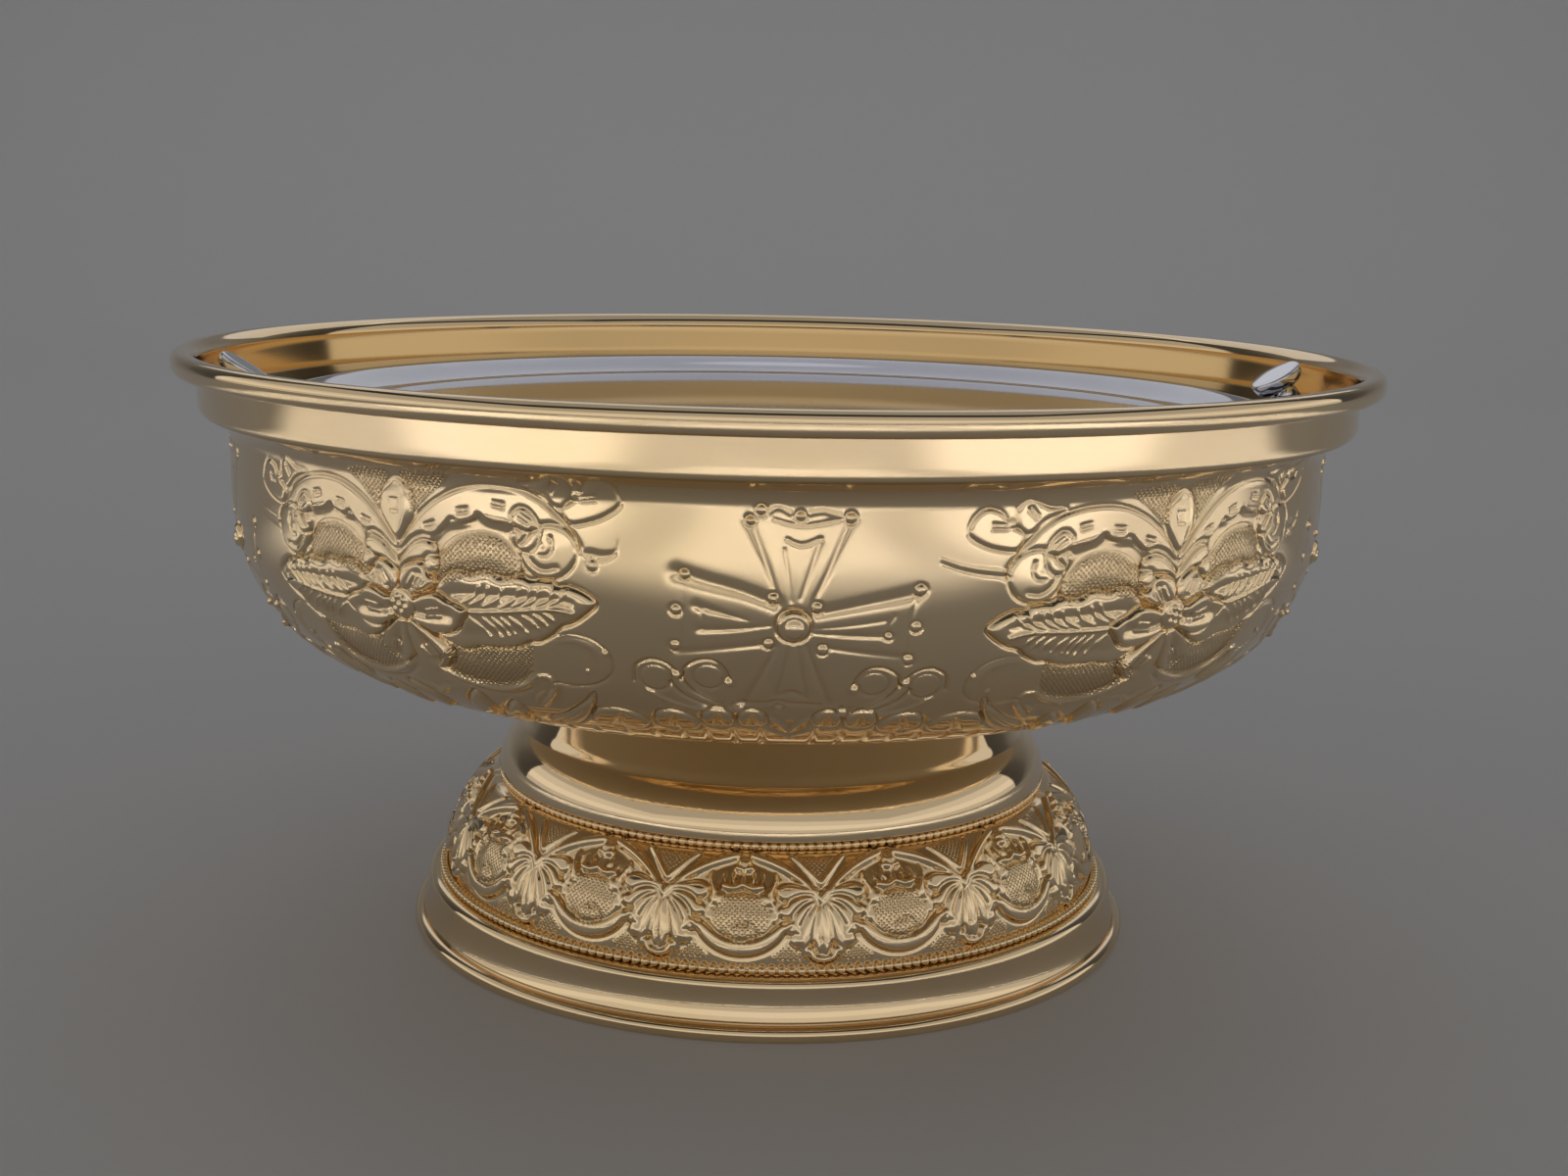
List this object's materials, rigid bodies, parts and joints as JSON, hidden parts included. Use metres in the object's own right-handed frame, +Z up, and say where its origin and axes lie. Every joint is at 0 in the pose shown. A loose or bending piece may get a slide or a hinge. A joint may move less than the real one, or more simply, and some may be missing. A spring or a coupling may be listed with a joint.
{
  "type": "footed bread bowl with lift-out paten",
  "caption": "Gold-plated footed altar bowl with chased crosses and flowers, embossed foot and polished rim, holding a shallow lift-out silver paten tray with knobs.",
  "frame": {"origin": "on the table under the middle of the base", "axes": "+Z up along the bowl's axis, -Y towards the front cross, +X to the right seen from the front"},
  "size_m": [0.24, 0.24, 0.1192],
  "materials": {
    "gold_plate": "polished pale gold plate on brass",
    "silver_plate": "polished silver plate",
    "fastener_steel": "plain zinc-bright steel"
  },
  "bodies": {
    "bowl": {"rim_collar": "gold_plate", "bowl_shell": "gold_plate", "stem": "gold_plate", "upper_bead_ring": "gold_plate", "foot_dome": "gold_plate", "lower_bead_ring": "gold_plate", "base_ring": "gold_plate", "bowl_washer": "fastener_steel", "center_bolt": "fastener_steel", "stem_washer": "fastener_steel", "hex_nut": "fastener_steel"},
    "paten": {"tray": "silver_plate", "left_knob": "silver_plate", "right_knob": "silver_plate"}
  },
  "joints": [
    {"name": "tray_lift", "type": "slide", "parent": "bowl", "child": "paten", "axis": [0, 0, 1], "range_m": [0, 0.06]}
  ]
}
